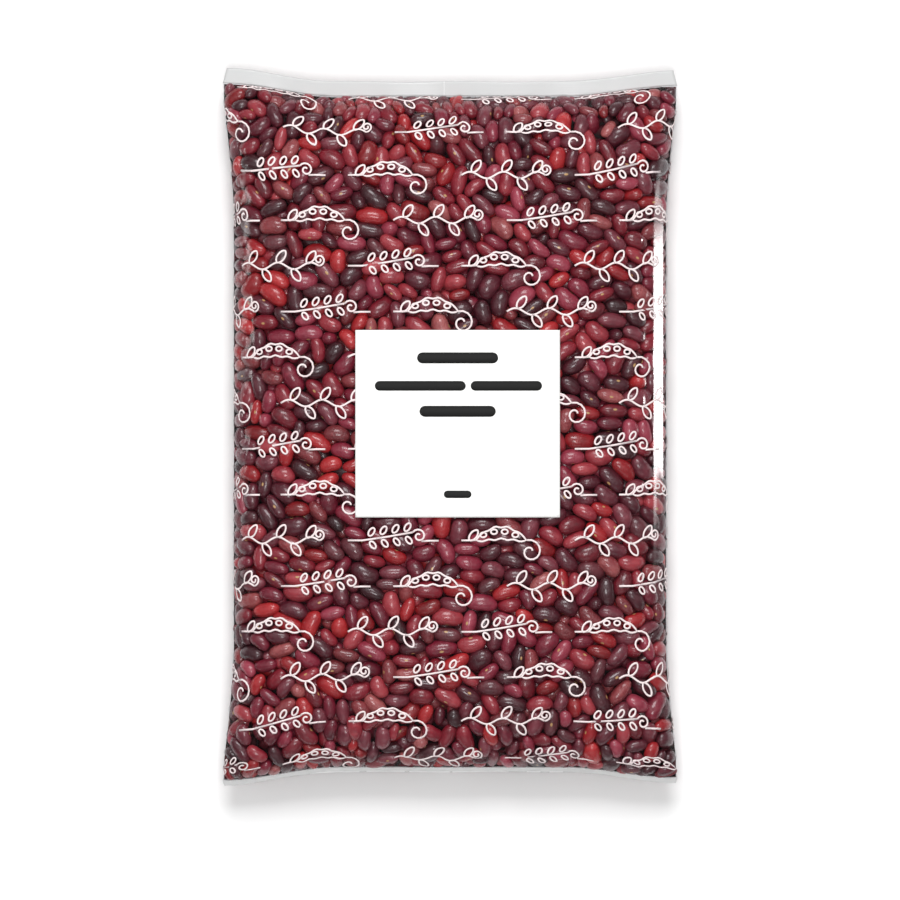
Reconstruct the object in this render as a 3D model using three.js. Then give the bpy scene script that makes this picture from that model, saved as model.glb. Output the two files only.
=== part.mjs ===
import * as THREE from "three";
import { ParametricGeometry } from "three/addons/geometries/ParametricGeometry.js";

// A sealed bag of dried beans, lying on its back with its front up, and the label on its front.
// Millimetres. +X is to the right across the front, +Y points to the header seal, and +Z is up.
// The bag is one tube of clear film, drawn tight over the beans and pinched flat at both ends.

// Driving dimensions, from a flat film width of about 282 and five kilograms of beans
const BODY_WIDTH = 269.4; // across the filled body
const SEAL_WIDTH = 281.8; // across the corners of a seal
const BODY_LENGTH = 416; // between the middles of the two seal lines
const HEIGHT = 68.5; // of the filled body as it lies
const SEAL_HEIGHT = 26; // of both seal lines above what the bag lies on

// How the width flares towards a seal: it starts this far from the seal and is full this far from it
const FLARE_START = 72;
const FLARE_FULL = 12;
const FLARE_POWER = 1.35;

// How a seal line bows: the corners stand out past its middle, a little more on the left
const BOW = 7.4;
const BOW_SKEW = 0.8;
const BOW_START = 0.5; // share of the half width where the line starts to turn
const BOW_REACH = 85; // how far into the body the bow is felt

// Roundness of the body: a higher exponent gives a fuller, squarer form
const FRONT_ROUNDNESS = 3.2;
const BACK_ROUNDNESS = 4;
const END_FULLNESS = 5;
const END_STEEPNESS = 2.2;
const BACK_SAG = 2.5; // how much deeper the back would hang if nothing held it up

// Gathers: shallow folds that run out of a seal and die away in the body
const GATHER_DEPTH = 1.3;
const GATHER_PEAK = 11; // distance from the seal where they are deepest
const GATHER_PITCH = 27;
const GATHER_WANDER = 9; // how far a fold strays from an even pitch
const GATHER_WANDER_PITCH = 195;
const GATHER_FLAT = 12; // where the body is thinner than this, the folds are shallower too

// The flat film past each seal line
const FLAP_THICKNESS = 1;
const FLAP_BEVEL = 0.5; // along its cut edge
const HEADER_FLAP = { length: 9.3, drop: 0.8, inset: 2.4 };
const FOOT_FLAP = { length: 3.1, drop: 8.5, inset: 0.6 };

// The label, centred a little to the right of the bag's middle
const LABEL_WIDTH = 126;
const LABEL_LENGTH = 115.4;
const LABEL_THICKNESS = 0.5;
const LABEL_GAP = 0.3;
const LABEL_X = 4.7;
const LABEL_Y = 5;

// Mesh fineness
const AROUND = 80;
const BODY_STEPS = 44;
const LABEL_STEPS = 12;

const FILM_OVER_BEANS = 0x7e2532;
const PAPER_WHITE = 0xf7f6f3;

const HALF_LENGTH = BODY_LENGTH / 2;
const FRONT_RISE = HEIGHT - SEAL_HEIGHT - FLAP_THICKNESS / 2;
const BACK_DEPTH = SEAL_HEIGHT + BACK_SAG;
const EDGE_SHARPNESS = 20; // exponent that closes the two sheets only at their side edges

function clampShare(t) {
  return Math.min(Math.max(t, 0), 1);
}

function smoothStep(t) {
  const s = clampShare(t);
  return s * s * (3 - 2 * s);
}

// How far a place is from the nearer seal line, from its share v of the half length
function fromSeal(v) {
  return (1 - Math.abs(v)) * HALF_LENGTH;
}

function halfWidth(v) {
  const inward = clampShare((fromSeal(v) - FLARE_FULL) / (FLARE_START - FLARE_FULL));
  return (BODY_WIDTH + (SEAL_WIDTH - BODY_WIDTH) * (1 - inward) ** FLARE_POWER) / 2;
}

// The seal lines' bow, which fades towards the middle of the body
function bowAt(across, v) {
  const corner = smoothStep((Math.abs(across) - BOW_START) / (1 - BOW_START));
  const reach = 1 - smoothStep(fromSeal(v) / BOW_REACH);
  return Math.sign(v) * (BOW - BOW_SKEW * Math.sign(across)) * corner * reach;
}

// Share of the full height at a place across and along the body
function fullness(across, v, roundness) {
  const lengthwise = (1 - Math.abs(v) ** END_FULLNESS) ** (1 / END_STEEPNESS);
  return lengthwise * (1 - Math.abs(across) ** roundness) ** (1 / roundness);
}

// Wavy folds, deepest near the seal and gone at the seal line, at the sides and in the body.
// The two ends' folds lie differently, because v shifts their wander.
function gatherAt(across, v, bulge) {
  const distance = fromSeal(v) / GATHER_PEAK;
  const x = across * halfWidth(v);
  const strayed = x + GATHER_WANDER * Math.sin((2 * Math.PI * x) / GATHER_WANDER_PITCH + v);
  const wave = Math.cos((2 * Math.PI * strayed) / GATHER_PITCH);
  const depth = GATHER_DEPTH * (1 - across ** 4) * Math.min(bulge / GATHER_FLAT, 1);
  return depth * wave * distance * Math.exp(1 - distance);
}

// Half the thickness of the two sheets of film, closing to nothing at the side edge
function halfSheet(across) {
  return (FLAP_THICKNESS / 2) * (1 - Math.abs(across) ** EDGE_SHARPNESS);
}

function frontHeight(across, v) {
  const rise = FRONT_RISE * fullness(across, v, FRONT_ROUNDNESS);
  return SEAL_HEIGHT + halfSheet(across) + rise + gatherAt(across, v, rise);
}

function backHeight(across, v) {
  const depth = BACK_DEPTH * fullness(across, v, BACK_ROUNDNESS);
  return Math.max(SEAL_HEIGHT - halfSheet(across) - depth + gatherAt(across, v, depth), 0);
}

// The rings of the tube, from the foot flap's cut edge to the header flap's. A flap's rings carry
// their share of its length: all of it at the cut edge, less at the bevel, and half in the middle.
function ringList() {
  const flapRings = (end, shape) =>
    [1, 1 - FLAP_BEVEL / shape.length, 0.5].map((share) => ({ v: end, shape, share }));
  const bodyRings = Array.from({ length: BODY_STEPS + 1 }, (_, i) => ({
    v: Math.sin((Math.PI * (2 * i - BODY_STEPS)) / (2 * BODY_STEPS)),
    share: 0,
  }));
  return [...flapRings(-1, FOOT_FLAP), ...bodyRings, ...flapRings(1, HEADER_FLAP).reverse()];
}

const RINGS = ringList();
const LAST_RING = RINGS.length - 1;

// A point of the tube: u runs round it, across the front from left to right and then across the
// back, and w runs from the foot to the header. The first and last rings are closed to a line.
function bagSurface(u, w, target) {
  const ring = RINGS[Math.round(w * LAST_RING)];
  const turn = (u % 1) * 2;
  const onFront = turn <= 1;
  const across = -Math.cos(Math.PI * (onFront ? turn : 2 - turn));
  const y = ring.v * HALF_LENGTH + bowAt(across, ring.v);
  if (ring.share === 0) {
    const height = onFront ? frontHeight(across, ring.v) : backHeight(across, ring.v);
    target.set(across * halfWidth(ring.v), y, height);
    return;
  }
  const { length, drop, inset } = ring.shape;
  const side = onFront ? 1 : -1;
  const sheet = ring.share === 1 ? 0 : side * halfSheet(across);
  target.set(
    across * (halfWidth(ring.v) - inset * ring.share),
    y + Math.sign(ring.v) * length * ring.share,
    SEAL_HEIGHT + sheet - drop * ring.share,
  );
}

function makeBag() {
  const geometry = new ParametricGeometry(bagSurface, AROUND, LAST_RING);
  const film = new THREE.MeshStandardMaterial({
    color: FILM_OVER_BEANS,
    roughness: 0.25,
    metalness: 0,
  });
  const bag = new THREE.Mesh(geometry, film);
  bag.name = "bag";
  return bag;
}

// A thin sheet bent over the front: each corner of a box's grid is lifted onto the film
function makeLabel() {
  const geometry = new THREE.BoxGeometry(
    LABEL_WIDTH,
    LABEL_LENGTH,
    LABEL_THICKNESS,
    LABEL_STEPS,
    LABEL_STEPS,
    1,
  );
  geometry.translate(LABEL_X, LABEL_Y, LABEL_GAP + LABEL_THICKNESS / 2);
  const place = geometry.getAttribute("position");
  for (let i = 0; i < place.count; i += 1) {
    const v = place.getY(i) / HALF_LENGTH;
    const across = place.getX(i) / halfWidth(v);
    place.setZ(i, place.getZ(i) + frontHeight(across, v));
  }
  const paper = new THREE.MeshStandardMaterial({
    color: PAPER_WHITE,
    roughness: 0.5,
    metalness: 0,
  });
  const label = new THREE.Mesh(geometry, paper);
  label.name = "label";
  return label;
}

const group = new THREE.Group();
const bag = makeBag();
group.add(bag, makeLabel());

// The origin is under the middle of the bag's box, on the surface that the bag lies on
bag.geometry.computeBoundingBox();
const middle = bag.geometry.boundingBox.getCenter(new THREE.Vector3());
group.children.forEach((mesh) => mesh.geometry.translate(-middle.x, -middle.y, 0));

export default group;
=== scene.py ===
import bpy
import numpy as np
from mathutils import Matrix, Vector


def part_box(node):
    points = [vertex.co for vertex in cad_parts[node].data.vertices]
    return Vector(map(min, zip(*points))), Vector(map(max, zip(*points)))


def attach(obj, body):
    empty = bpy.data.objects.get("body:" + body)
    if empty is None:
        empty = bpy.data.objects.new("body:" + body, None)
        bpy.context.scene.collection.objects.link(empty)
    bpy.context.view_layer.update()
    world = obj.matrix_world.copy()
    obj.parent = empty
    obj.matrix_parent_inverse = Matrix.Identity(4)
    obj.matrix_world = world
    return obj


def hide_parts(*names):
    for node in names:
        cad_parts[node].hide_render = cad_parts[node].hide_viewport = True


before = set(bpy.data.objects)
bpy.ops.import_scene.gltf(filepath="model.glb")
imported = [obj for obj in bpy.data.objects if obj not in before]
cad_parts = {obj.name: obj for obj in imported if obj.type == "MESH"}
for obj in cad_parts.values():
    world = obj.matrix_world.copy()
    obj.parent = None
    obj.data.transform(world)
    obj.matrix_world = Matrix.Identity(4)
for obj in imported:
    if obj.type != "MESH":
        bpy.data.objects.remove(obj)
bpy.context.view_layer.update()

# A sealed bag of dried red kidney beans: clear film drawn tight over loose beans, with white line
# drawings printed in rows on the film and a paper label on the front. Metres, in the frame of the
# CAD model: it lies on its back, +X right across the front, +Y to the header seal and +Z up.

MM = 0.001
SEED = 41

# The bag's form, as the CAD solid has it
bag_low, bag_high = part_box("bag")
SEAL_WIDTH = bag_high[0] - bag_low[0]
HEIGHT = bag_high[2]
BODY_WIDTH = 269.4 * MM
HALF_LENGTH = 208 * MM
SEAL_HEIGHT = 26 * MM
FLARE_START = 72 * MM
FLARE_FULL = 12 * MM
FLARE_POWER = 1.35
BOW = 7.4 * MM
BOW_SKEW = 0.8 * MM
BOW_START = 0.5
BOW_REACH = 85 * MM
FRONT_ROUNDNESS = 3.2
BACK_ROUNDNESS = 4
END_FULLNESS = 5
END_STEEPNESS = 2.2
BACK_SAG = 2.5 * MM
GATHER_DEPTH = 1.3 * MM
GATHER_PEAK = 11 * MM
GATHER_PITCH = 27 * MM
GATHER_WANDER = 9 * MM
GATHER_WANDER_PITCH = 195 * MM
GATHER_FLAT = 12 * MM
HEADER_FLAP = {"length": 9.3 * MM, "drop": 0.8 * MM, "inset": 2.4 * MM}
FOOT_FLAP = {"length": 3.1 * MM, "drop": 8.5 * MM, "inset": 0.6 * MM}
CAD_FLAP_THICKNESS = 1 * MM
FRONT_RISE = HEIGHT - SEAL_HEIGHT - CAD_FLAP_THICKNESS / 2
BACK_DEPTH = SEAL_HEIGHT + BACK_SAG
SHEET = 0.06 * MM  # half the thickness of the two sheets where they are sealed
EDGE_SHARPNESS = 20  # exponent that closes the two sheets only at their side edges

# The middle of the body lies a little below the middle of the bag's box, which has the header
MIDDLE_Y = bag_high[1] - HALF_LENGTH - BOW - BOW_SKEW - HEADER_FLAP["length"]

SLOPE_STEP = 1e-4  # the step over which slopes of the form are measured
TINY = 1e-12  # keeps a length that is divided by above zero


def dot(first, second):
    """Row by row, the sum of the products of two sets of vectors."""
    return np.einsum("ij,ij->i", first, second)


def unit(vectors):
    """Vectors divided by their lengths."""
    return vectors / np.maximum(np.linalg.norm(vectors, axis=-1, keepdims=True), TINY)


def ring_shares(count):
    """Shares v of rings that lie close together towards the seals: the sine of even steps."""
    return np.sin(np.linspace(-np.pi / 2, np.pi / 2, count))


def smooth_step(t):
    """3 t squared less 2 t cubed, with t held between 0 and 1."""
    t = np.clip(t, 0, 1)
    return t * t * (3 - 2 * t)


def from_seal(v):
    """Distance to the nearer seal line: what is left of the half length beyond the share v."""
    return (1 - np.abs(v)) * HALF_LENGTH


def half_width(v):
    """Half the body's width, which flares to half the seal's width along a power curve."""
    inward = np.clip((from_seal(v) - FLARE_FULL) / (FLARE_START - FLARE_FULL), 0, 1)
    return (BODY_WIDTH + (SEAL_WIDTH - BODY_WIDTH) * (1 - inward) ** FLARE_POWER) / 2


def bow(across, v):
    """How far the film lies past the straight seal line: a smooth step towards the corners,
    times one that fades into the body."""
    corner = smooth_step((np.abs(across) - BOW_START) / (1 - BOW_START))
    reach = 1 - smooth_step(from_seal(v) / BOW_REACH)
    return np.sign(v) * (BOW - BOW_SKEW * np.sign(across)) * corner * reach


def lengthwise(v):
    """Share of the full height along the body, a superellipse of the share v."""
    return np.maximum(1 - np.abs(v) ** END_FULLNESS, 0) ** (1 / END_STEEPNESS)


def fullness(across, v, roundness):
    """The lengthwise share times a superellipse across the body."""
    return lengthwise(v) * np.maximum(1 - np.abs(across) ** roundness, 0) ** (1 / roundness)


def gather(across, v, bulge):
    """Folds that run out of a seal: a cosine across the body with a pitch that wanders, times
    d e^(1 - d) of the distance d from the seal."""
    distance = from_seal(v) / GATHER_PEAK
    x = across * half_width(v)
    strayed = x + GATHER_WANDER * np.sin(2 * np.pi * x / GATHER_WANDER_PITCH + v)
    depth = GATHER_DEPTH * (1 - across**4) * np.minimum(bulge / GATHER_FLAT, 1)
    return depth * np.cos(2 * np.pi * strayed / GATHER_PITCH) * distance * np.exp(1 - distance)


def film_height(across, v, front):
    """Height of the film: the seal's height plus the front's bulge and folds, or less the
    back's, which stops at the surface that the bag lies on."""
    rise = FRONT_RISE * fullness(across, v, FRONT_ROUNDNESS)
    depth = BACK_DEPTH * fullness(across, v, BACK_ROUNDNESS)
    over = SEAL_HEIGHT + rise + gather(across, v, rise)
    under = SEAL_HEIGHT - depth + gather(across, v, depth)
    return np.where(front, over, np.maximum(under, 0))


def across_at(turn):
    """Share of the half width at a turn round the bag, and whether it is on the front: 0 to 1
    across the front from left to right and 1 to 2 back across the underside. It is a cosine of
    the turn, so even turns lie close together at the round sides."""
    turn = turn % 2
    front = turn <= 1
    return -np.cos(np.pi * np.where(front, turn, 2 - turn)), front


def film_point(turn, v):
    """The film at a turn round the bag and at the share v of the half length."""
    across, front = across_at(turn)
    y = MIDDLE_Y + v * HALF_LENGTH + bow(across, v)
    return np.stack([across * half_width(v), y, film_height(across, v, front)], axis=-1)


def film_normal(turn, v):
    """Outward direction of the film: the cross product of small steps round and along it."""
    step = SLOPE_STEP
    inner = np.clip(v, -1 + 2 * step, 1 - 2 * step)
    round_step = film_point(turn + step, inner) - film_point(turn - step, inner)
    long_step = film_point(turn, inner + step) - film_point(turn, inner - step)
    return unit(np.cross(round_step, long_step))


# Mesh helpers


def build_mesh(name, points, quads, triangles=None, uv=None, tone=None):
    """A mesh object from whole arrays. uv has a row for each corner of the quads and then of the
    triangles, and tone has a number for each point."""
    parts = [np.asarray(quads, dtype=np.int64).reshape(-1, 4)]
    if triangles is not None:
        parts.append(np.asarray(triangles, dtype=np.int64).reshape(-1, 3))
    corners = np.concatenate([part.ravel() for part in parts])
    sides = np.concatenate([np.full(len(part), part.shape[1]) for part in parts])
    mesh = bpy.data.meshes.new(name)
    mesh.vertices.add(len(points))
    mesh.vertices.foreach_set("co", np.asarray(points, dtype=np.float32).ravel())
    mesh.loops.add(len(corners))
    mesh.loops.foreach_set("vertex_index", corners.astype(np.int32))
    mesh.polygons.add(len(sides))
    mesh.polygons.foreach_set("loop_start", (np.cumsum(sides) - sides).astype(np.int32))
    mesh.update(calc_edges=True)
    mesh.polygons.foreach_set("use_smooth", np.ones(len(sides), dtype=bool))
    if uv is not None:
        layer = mesh.uv_layers.new(name="surface")
        layer.uv.foreach_set("vector", np.asarray(uv, dtype=np.float32).ravel())
    if tone is not None:
        layer = mesh.attributes.new("tone", "FLOAT", "POINT")
        layer.data.foreach_set("value", np.asarray(tone, dtype=np.float32))
    mesh.validate()
    piece = bpy.data.objects.new(name, mesh)
    bpy.context.scene.collection.objects.link(piece)
    return piece


def add_piece(piece, material):
    """Gives a piece its material and fixes it to the bag's root body."""
    piece.data.materials.append(material)
    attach(piece, "root")
    return piece


def tube_mesh(rings):
    """Quads round closed rings of points. Each end ring is closed by a strip that joins its
    front half to its back half, point to facing point."""
    count, around = rings.shape[:2]
    ring = np.arange(count - 1)[:, None] * around
    here = np.arange(around)[None, :]
    after = (here + 1) % around
    walls = np.stack([ring + here, ring + after, ring + around + after, ring + around + here], axis=-1)
    k = np.arange(around // 2)
    facing, facing_after = (around - k) % around, around - k - 1
    last = (count - 1) * around
    foot = np.stack([k, facing, facing_after, k + 1], axis=-1)
    head = np.stack([k, k + 1, facing_after, facing], axis=-1) + last
    return rings.reshape(-1, 3), np.concatenate([walls.reshape(-1, 4), foot, head])


def slab_faces(rows, columns):
    """Quads of a thin closed slab: a lower grid of points, an upper grid above it and a wall
    round the rim. Rows run along y and columns along x."""
    count = rows * columns
    corner = np.arange(rows - 1)[:, None] * columns + np.arange(columns - 1)[None, :]
    face = np.stack([corner, corner + 1, corner + columns + 1, corner + columns], axis=-1)
    face = face.reshape(-1, 4)
    rim = np.concatenate(
        [
            np.arange(columns - 1),
            np.arange(rows - 1) * columns + columns - 1,
            count - 1 - np.arange(columns - 1),
            (rows - 1 - np.arange(rows - 1)) * columns,
        ]
    )
    after = np.roll(rim, -1)
    wall = np.stack([rim, after, after + count, rim + count], axis=-1)
    return np.concatenate([face[:, ::-1], face + count, wall])


def slab_mesh(lower, upper):
    """The points of a lower and an upper grid, and the quads of the slab between them."""
    rows, columns = lower.shape[:2]
    return np.concatenate([lower.reshape(-1, 3), upper.reshape(-1, 3)]), slab_faces(rows, columns)


def join_meshes(meshes):
    """The points of several meshes one after another, and their quads, renumbered to match."""
    starts = np.cumsum([0] + [len(points) for points, _ in meshes[:-1]])
    quads = [faces + start for (_, faces), start in zip(meshes, starts)]
    return np.concatenate([points for points, _ in meshes]), np.concatenate(quads)


# Materials

FILM_GLOSS_LIMIT = 0.02
WAVE_SCALE = 0.314  # a wave texture's scale, times its pitch in metres


def srgb(hex_colour):
    """A colour's linear values from its sRGB hex digits."""
    parts = np.array([int(hex_colour[i : i + 2], 16) for i in (1, 3, 5)]) / 255
    linear = np.where(parts <= 0.04045, parts / 12.92, ((parts + 0.055) / 1.055) ** 2.4)
    return (*linear, 1.0)


def new_material(name):
    """A material with an empty node tree, and the tree."""
    material = bpy.data.materials.new(name)
    material.use_nodes = True
    material.node_tree.nodes.clear()
    return material, material.node_tree


def add_node(tree, kind, inputs=None, **settings):
    """A shader node with its settings, and inputs that are numbers, colours or other sockets."""
    node = tree.nodes.new(kind)
    for name, value in settings.items():
        setattr(node, name, value)
    for name, value in (inputs or {}).items():
        if isinstance(value, bpy.types.NodeSocket):
            tree.links.new(value, node.inputs[name])
        else:
            node.inputs[name].default_value = value
    return node


def maths(tree, operation, *values):
    """What a maths node gives for numbers or sockets."""
    node = add_node(tree, "ShaderNodeMath", dict(enumerate(values)), operation=operation)
    return node.outputs[0]


def vector_maths(tree, operation, *values):
    """What a vector maths node gives: a number for a length, and otherwise a vector."""
    node = add_node(tree, "ShaderNodeVectorMath", dict(enumerate(values)), operation=operation)
    return node.outputs["Value" if operation == "LENGTH" else "Vector"]


def noise(tree, place, pitch, **inputs):
    """Smooth noise whose features are a pitch apart."""
    inputs = {"Vector": place, "Scale": 1 / pitch, **inputs}
    return add_node(tree, "ShaderNodeTexNoise", inputs).outputs["Fac"]


def ramp(tree, share, *stops):
    """Colours that run into one another along a share, from a place and a hex colour for each
    stop: the lowest, the highest and then any between."""
    node = add_node(tree, "ShaderNodeValToRGB", {"Fac": share})
    elements = node.color_ramp.elements
    for index, (position, colour) in enumerate(stops):
        element = elements[index] if index < 2 else elements.new(position)
        element.position = position
        element.color = srgb(colour)
    return node.outputs["Color"]


def blend(tree, share, first, second):
    """One colour that gives way to another as the share goes from 0 to 1."""
    inputs = {"Factor": share, "A": first, "B": second}
    return add_node(tree, "ShaderNodeMix", inputs, data_type="RGBA").outputs["Result"]


def relief(tree, height, strength, depth):
    """The normal of a surface with a height pattern of the given depth."""
    inputs = {"Height": height, "Strength": strength, "Distance": depth}
    return add_node(tree, "ShaderNodeBump", inputs).outputs["Normal"]


def mix_shaders(tree, share, first, second):
    """One shader that gives way to another as the share goes from 0 to 1."""
    return add_node(tree, "ShaderNodeMixShader", {0: share, 1: first, 2: second}).outputs[0]


def shader(tree, kind, **inputs):
    """A shader node's result. The inputs' names have underscores for spaces."""
    named = {name.replace("_", " "): value for name, value in inputs.items()}
    return add_node(tree, f"ShaderNodeBsdf{kind}", named).outputs[0]


def seed_coat(name, dark, body, bright, wrinkle):
    """Dried bean seed coat: a hard, smooth skin with a waxy gloss. Each bean has its own tone,
    its colour clouds over a few millimetres, its skin is faintly creased, and on some a pale
    spot marks where it hung in the pod."""
    material, tree = new_material(name)
    place = add_node(tree, "ShaderNodeTexCoord").outputs["Object"]
    tone = add_node(tree, "ShaderNodeAttribute", attribute_name="tone").outputs["Fac"]
    cloud = noise(tree, place, 6.5 * MM, Detail=4.0)
    mixed = maths(tree, "MULTIPLY_ADD", cloud, 0.6, tone)
    colour = ramp(tree, mixed, (0.12, dark), (1.0, bright), (0.6, body))
    # The spot is an ellipse on the unrolled skin, on the share of beans whose tone draws one
    surface = add_node(tree, "ShaderNodeUVMap", uv_map="surface").outputs["UV"]
    shifted = vector_maths(tree, "SUBTRACT", surface, SPOT_PLACE)
    stretched = vector_maths(tree, "MULTIPLY", shifted, SPOT_STRETCH)
    lot = maths(tree, "FRACT", maths(tree, "MULTIPLY", tone, 9.0))
    spot = add_node(
        tree,
        "ShaderNodeMapRange",
        {
            "Value": vector_maths(tree, "LENGTH", stretched),
            "From Min": 0.7,
            "From Max": 1.15,
            "To Min": maths(tree, "LESS_THAN", lot, SPOT_SHARE),
            "To Max": 0.0,
        },
    ).outputs["Result"]
    # Skin creases are 1 to 3 mm apart
    crease = noise(tree, place, 2.8 * MM, Detail=3.0, Distortion=1.2)
    skin = shader(
        tree,
        "Principled",
        Base_Color=blend(tree, spot, colour, srgb("#C69C66")),
        Roughness=0.4,
        IOR=1.5,
        Coat_Weight=0.6,
        Coat_Roughness=0.15,
        Normal=relief(tree, crease, wrinkle, 0.8 * MM),
    )
    add_node(tree, "ShaderNodeOutputMaterial", {"Surface": skin})
    return material


def inner_pile():
    """Beans behind the outer ones, seen only in the gaps between those: rounded cells 9 mm wide. Their
    dark reds and the black at each cell's rim are painted shade, for the shade deep in the pile, and
    their skin is dull."""
    material, tree = new_material("painted_shade_core_beans")
    place = add_node(tree, "ShaderNodeTexCoord").outputs["Object"]
    cells = {"Vector": place, "Scale": 1 / (9 * MM)}
    cell = add_node(tree, "ShaderNodeTexVoronoi", cells).outputs["Color"]
    draw = add_node(tree, "ShaderNodeSeparateColor", {"Color": cell}).outputs["Red"]
    # Painted shade: the cells' reds are darkened for the shade deep in the pile
    colour = ramp(tree, draw, (0.1, "#2E0B12"), (0.9, "#661824"))
    # Painted shade: each cell goes black towards its rim, where the gaps between beans lie in shade;
    # the same rise also gives each cell its rounded relief
    rim = add_node(tree, "ShaderNodeTexVoronoi", cells, feature="DISTANCE_TO_EDGE")
    dome_and_rim_shade = add_node(
        tree,
        "ShaderNodeMapRange",
        {"Value": rim.outputs["Distance"], "From Max": 0.3},
        interpolation_type="SMOOTHSTEP",
    ).outputs["Result"]
    skin = shader(
        tree,
        "Principled",
        Base_Color=blend(tree, dome_and_rim_shade, srgb("#0A0203"), colour),
        Roughness=0.6,
        Specular_IOR_Level=0.15,
        Normal=relief(tree, dome_and_rim_shade, 0.7, 2.5 * MM),
    )
    add_node(tree, "ShaderNodeOutputMaterial", {"Surface": skin})
    return material


def clear_film():
    """Cast polypropylene film: clear, smooth and glossy. It passes nearly all light straight
    through, and its gloss grows a little towards grazing views, up to a limit that keeps the
    steep sides clear. A slight haze softens the gloss."""
    material, tree = new_material("clear_polypropylene_film")
    through = shader(tree, "Transparent", Color=srgb("#F3F3F4"))
    gloss = shader(tree, "Glossy", Color=srgb("#FFFFFF"), Roughness=0.14)
    fresnel = add_node(tree, "ShaderNodeFresnel", {"IOR": 1.35}).outputs[0]
    share = maths(tree, "MINIMUM", maths(tree, "MULTIPLY", fresnel, 0.5), FILM_GLOSS_LIMIT)
    mixed = mix_shaders(tree, share, through, gloss)
    add_node(tree, "ShaderNodeOutputMaterial", {"Surface": mixed})
    return material


def sealed_film(name, milk_colour):
    """Heat-sealed polypropylene: two sheets melted into one, milky and a little grey, with fine
    ribs from the sealing jaws 1.5 mm apart."""
    material, tree = new_material(name)
    place = add_node(tree, "ShaderNodeTexCoord").outputs["Object"]
    rib = add_node(
        tree,
        "ShaderNodeTexWave",
        {"Vector": place, "Scale": WAVE_SCALE / (1.5 * MM), "Distortion": 0.4},
        bands_direction="Y",
    ).outputs["Fac"]
    ribbed = relief(tree, rib, 0.2, 0.2 * MM)
    through = shader(tree, "Transparent", Color=srgb("#EAEBEB"))
    milk = shader(tree, "Diffuse", Color=srgb(milk_colour))
    gloss = shader(tree, "Glossy", Color=srgb("#FFFFFF"), Roughness=0.25, Normal=ribbed)
    hazy = mix_shaders(tree, 0.85, through, milk)
    fresnel = add_node(tree, "ShaderNodeFresnel", {"IOR": 1.3}).outputs[0]
    mixed = mix_shaders(tree, fresnel, hazy, gloss)
    add_node(tree, "ShaderNodeOutputMaterial", {"Surface": mixed})
    return material


def plain_finish(name, colour, roughness):
    """A smooth even finish, for what has no pattern of its own."""
    material, tree = new_material(name)
    finish = shader(tree, "Principled", Base_Color=srgb(colour), Roughness=roughness)
    add_node(tree, "ShaderNodeOutputMaterial", {"Surface": finish})
    return material


# The beans

BEAN_LENGTH = 16.8 * MM
BEAN_WIDTH = 11.2 * MM
BEAN_THICKNESS = 9.2 * MM
BEAN_BLUNTNESS = 0.93
BEAN_BEND = 0.13
BEND_LEVEL = 0.4  # share of the bend that is taken off, to keep the bean about its middle
BEAN_DENT = 0.16
BEAN_DENT_REACH = 0.4
BEAN_AROUND = 10
BEAN_ROWS = 7
SIZE_SPREAD = 0.1
SHAPE_SPREAD = 0.06
SIZE_LIMITS = (0.72, 1.22)
LYING_FLAT = 0.66  # how much of a bean's slope towards the film is taken away
ROLL_SPREAD = 0.5
TONE_LIMITS = (0.02, 0.58)
SPOT_SHARE = 0.45
SPOT_PLACE = (0.5, 0.5, 0.0)
SPOT_STRETCH = (22.0, 40.0, 0.0)

# Layers of beans as they start: depth behind the film, beans for each square of the spacing,
# how far from a seal the layer reaches, and bean size. Small beans fill the corners at the seals.
LAYERS = [
    (5.2 * MM, 1.0, HALF_LENGTH, 1.0),
    (13.6 * MM, 0.93, HALF_LENGTH, 1.0),
    (4.2 * MM, 1.1, 9 * MM, 0.78),
    (8 * MM, 0.45, 26 * MM, 0.92),
]
BEAN_SPACING = 12.6 * MM
PILE_DEPTH = 17.8 * MM
FILM_GAP = 0.3 * MM
FLOOR_GAP = 0.35 * MM
SEAL_GIVE = 0.8 * MM
PRESS = 0.07 * MM
SETTLE_STEPS = 160
LAST_STEPS = 12
REGROUP_EVERY = 8
PAIR_MARGIN = 1.5 * MM  # how far past touching the pairs of balls are kept
PUSH = 0.45  # share of an overlap by which each of two balls moves
RETURN = 0.3  # share of its excess depth by which a ball moves out
SIDE_LIMIT = 0.985  # share of the half width past which nothing is straight above a point
END_LIMIT = 0.9995  # share of the half length past which the film has no slope to take

# Six balls stand in for a bean while it settles: three pairs along its length, bent like it,
# with smaller balls at its ends
BALL_RADIUS = BEAN_THICKNESS / 2
BALL_SHARES = np.array([0.84, 0.84, 1.0, 1.0, 0.84, 0.84])
BALL_STATIONS = np.array([-4.6, -4.6, 0, 0, 4.6, 4.6]) * MM
BALL_SIDES = np.array([-1.1, 0.6, -0.8, 1.4, -1.1, 0.6]) * MM
TOO_CLOSE = 4 * MM
SHRINK = 0.72

# Kinds of bean: share of the pile, dark, body and bright colours, and how creased the skin is
KINDS = {
    "scarlet": (0.12, "#640E14", "#A01820", "#C63436", 0.6),
    "crimson": (0.25, "#440A16", "#8A1C2C", "#BA464D", 0.6),
    "ruby": (0.17, "#420A18", "#821C32", "#AE4456", 0.6),
    "maroon": (0.28, "#2C0A12", "#5A1726", "#8C3C48", 0.65),
    "umber": (0.1, "#220A0E", "#461620", "#74343C", 0.65),
    "rose": (0.08, "#56181F", "#8E373C", "#BC6866", 1.0),
}


def film_areas(rings=160, around=240):
    """Shares v and turns of a grid over the film, and the area of each of its cells."""
    v = ring_shares(rings)
    turn = np.linspace(0, 2, around)
    grid = film_point(turn[None, :], v[:, None])
    round_step = np.diff(grid, axis=1)[:-1]
    long_step = np.diff(grid, axis=0)[:, :-1]
    return v, turn, np.linalg.norm(np.cross(round_step, long_step), axis=-1)


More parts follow.
